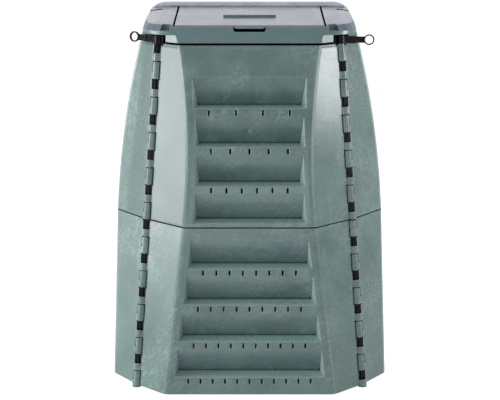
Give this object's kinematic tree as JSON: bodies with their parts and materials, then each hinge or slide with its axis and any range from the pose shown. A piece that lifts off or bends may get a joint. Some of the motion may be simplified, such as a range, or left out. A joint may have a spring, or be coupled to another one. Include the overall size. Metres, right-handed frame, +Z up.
{
  "type": "thermal composter",
  "caption": "Tapered octagonal garden compost bin of louvred green panels hinged on ringed corner rods, with a low lid carrying filling flaps either side of a ridge.",
  "frame": {"origin": "On the ground at the centre of the footprint, under the four corner feet.", "axes": "+Z up along the bin's middle line; -Y is the front; +X is to the right when seen from the front."},
  "size_m": [0.7996, 0.7996, 1.067],
  "materials": {
    "wall_green": "mottled and lightly scuffed recycled plastic, grey green",
    "lid_green": "mottled recycled plastic, grey green, glossier than the walls",
    "rod_black": "smooth black plastic"
  },
  "bodies": {
    "walls": {"wall_lower_front": "wall_green", "wall_lower_right": "wall_green", "wall_lower_rear": "wall_green", "wall_lower_left": "wall_green", "wall_upper_front": "wall_green", "wall_upper_right": "wall_green", "wall_upper_rear": "wall_green", "wall_upper_left": "wall_green"},
    "lid": {"skirt_front": "lid_green", "skirt_right": "lid_green", "skirt_rear": "lid_green", "skirt_left": "lid_green", "lid_frame": "lid_green", "lid_ridge": "lid_green"},
    "front_flap": {"flap_front": "lid_green"},
    "rear_flap": {"flap_rear": "lid_green"},
    "front_left_rod": {"rod_front_left": "rod_black"},
    "front_right_rod": {"rod_front_right": "rod_black"},
    "rear_left_rod": {"rod_rear_left": "rod_black"},
    "rear_right_rod": {"rod_rear_right": "rod_black"}
  },
  "joints": [
    {"name": "lid_lift", "type": "slide", "parent": "walls", "child": "lid", "axis": [0, 0, 1], "range_m": [0, 0.15]},
    {"name": "front_flap_hinge", "type": "hinge", "parent": "lid", "child": "front_flap", "pos_m": [0, -0.024, 1.0523], "axis": [-1, 0, 0], "range_deg": [0, 88]},
    {"name": "rear_flap_hinge", "type": "hinge", "parent": "lid", "child": "rear_flap", "pos_m": [0, 0.024, 1.0523], "axis": [1, 0, 0], "range_deg": [0, 88]},
    {"name": "front_left_rod_turn", "type": "hinge", "parent": "walls", "child": "front_left_rod", "pos_m": [-0.325, -0.325, 0], "axis": [0.0763, 0.0763, 0.9942], "range_deg": [0, 140]},
    {"name": "front_right_rod_turn", "type": "hinge", "parent": "walls", "child": "front_right_rod", "pos_m": [0.325, -0.325, 0], "axis": [-0.0763, 0.0763, 0.9942], "range_deg": [-105, 35]},
    {"name": "rear_left_rod_turn", "type": "hinge", "parent": "walls", "child": "rear_left_rod", "pos_m": [-0.325, 0.325, 0], "axis": [0.0763, -0.0763, 0.9942], "range_deg": [-24, 116]},
    {"name": "rear_right_rod_turn", "type": "hinge", "parent": "walls", "child": "rear_right_rod", "pos_m": [0.325, 0.325, 0], "axis": [-0.0763, -0.0763, 0.9942], "range_deg": [-116, 24]}
  ]
}
